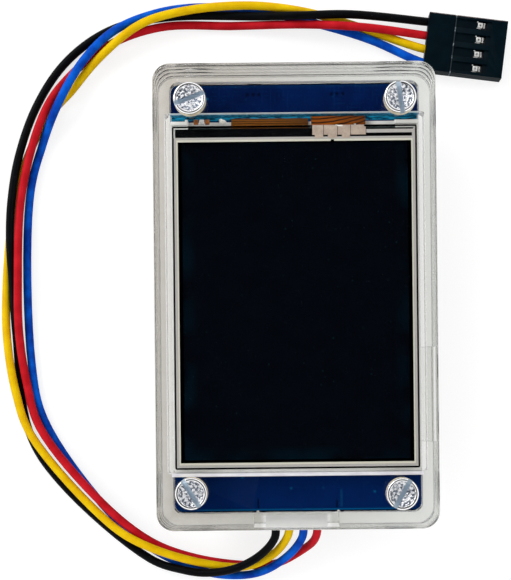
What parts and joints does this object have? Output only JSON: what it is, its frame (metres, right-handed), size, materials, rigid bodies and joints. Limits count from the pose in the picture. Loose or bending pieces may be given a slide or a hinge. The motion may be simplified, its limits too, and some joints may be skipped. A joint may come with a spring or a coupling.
{
  "type": "touch display module",
  "caption": "Small touch display on a blue circuit board, held between screwed clear acrylic sheets, with a four-wire lead to a pin socket.",
  "frame": {"origin": "middle of the case on the plane it lies on, under its four nuts", "axes": "+Z out of the screen, +Y along the case from the plug's end to the flex end, +X to the right when facing the screen"},
  "size_m": [0.0938, 0.106, 0.0184],
  "materials": {
    "clear_acrylic": "clear laser-cut acrylic sheet",
    "nickel_plate": "nickel-plated steel, turned",
    "board_blue": "dark blue solder mask",
    "chip_black": "moulded epoxy",
    "tin_plate": "tinned metal",
    "ceramic_tan": "ceramic with tinned caps",
    "gold_plate": "gold plate",
    "connector_ivory": "moulded nylon",
    "socket_black": "moulded black plastic",
    "foam_black": "foam tape",
    "tray_white": "moulded white plastic",
    "film_white": "white film",
    "guide_clear": "clear light guide",
    "display_glass": "display glass",
    "panel_black": "dark polarizer under glass",
    "tape_black": "black tape",
    "flex_amber": "polyimide film with copper",
    "touch_clear": "clear touch glass and film",
    "silver_ink": "printed silver ink",
    "wire_black": "insulation",
    "wire_yellow": "insulation",
    "wire_blue": "insulation",
    "wire_red": "insulation"
  },
  "bodies": {
    "root": {"front_panel": "clear_acrylic", "board_ring": "clear_acrylic", "slotted_ring": "clear_acrylic", "corner_piece": "clear_acrylic", "lower_ring": "clear_acrylic", "back_panel": "clear_acrylic", "case_screws": "nickel_plate", "case_nuts": "nickel_plate", "panel_spacers": "clear_acrylic", "circuit_board": "board_blue", "graphics_chip": "chip_black", "microcontroller": "chip_black", "flash_memory": "chip_black", "crystal": "tin_plate", "regulator": "chip_black", "inductor": "chip_black", "chip_capacitors": "ceramic_tan", "chip_resistors": "chip_black", "card_socket_base": "chip_black", "card_socket_shell": "tin_plate", "card_socket_contacts": "gold_plate", "cable_header": "connector_ivory", "header_pins": "tin_plate", "foam_tapes": "foam_black", "backlight_tray": "tray_white", "reflector": "film_white", "light_guide": "guide_clear", "backlight_leds": "tray_white", "backlight_flex": "flex_amber", "optical_films": "film_white", "rear_polarizer": "display_glass", "rear_glass": "display_glass", "front_glass": "panel_black", "front_polarizer": "panel_black", "driver_chip": "chip_black", "ledge_tape": "tape_black", "display_flex": "flex_amber", "touch_bond": "touch_clear", "touch_glass": "touch_clear", "touch_tracks": "silver_ink", "touch_seal": "touch_clear", "touch_film": "touch_clear", "touch_flex": "flex_amber", "cable_plug": "connector_ivory", "plug_contacts": "tin_plate", "wire_black": "wire_black", "wire_yellow": "wire_yellow", "wire_blue": "wire_blue", "wire_red": "wire_red", "socket_housing": "socket_black", "socket_contacts": "tin_plate"}
  },
  "joints": []
}
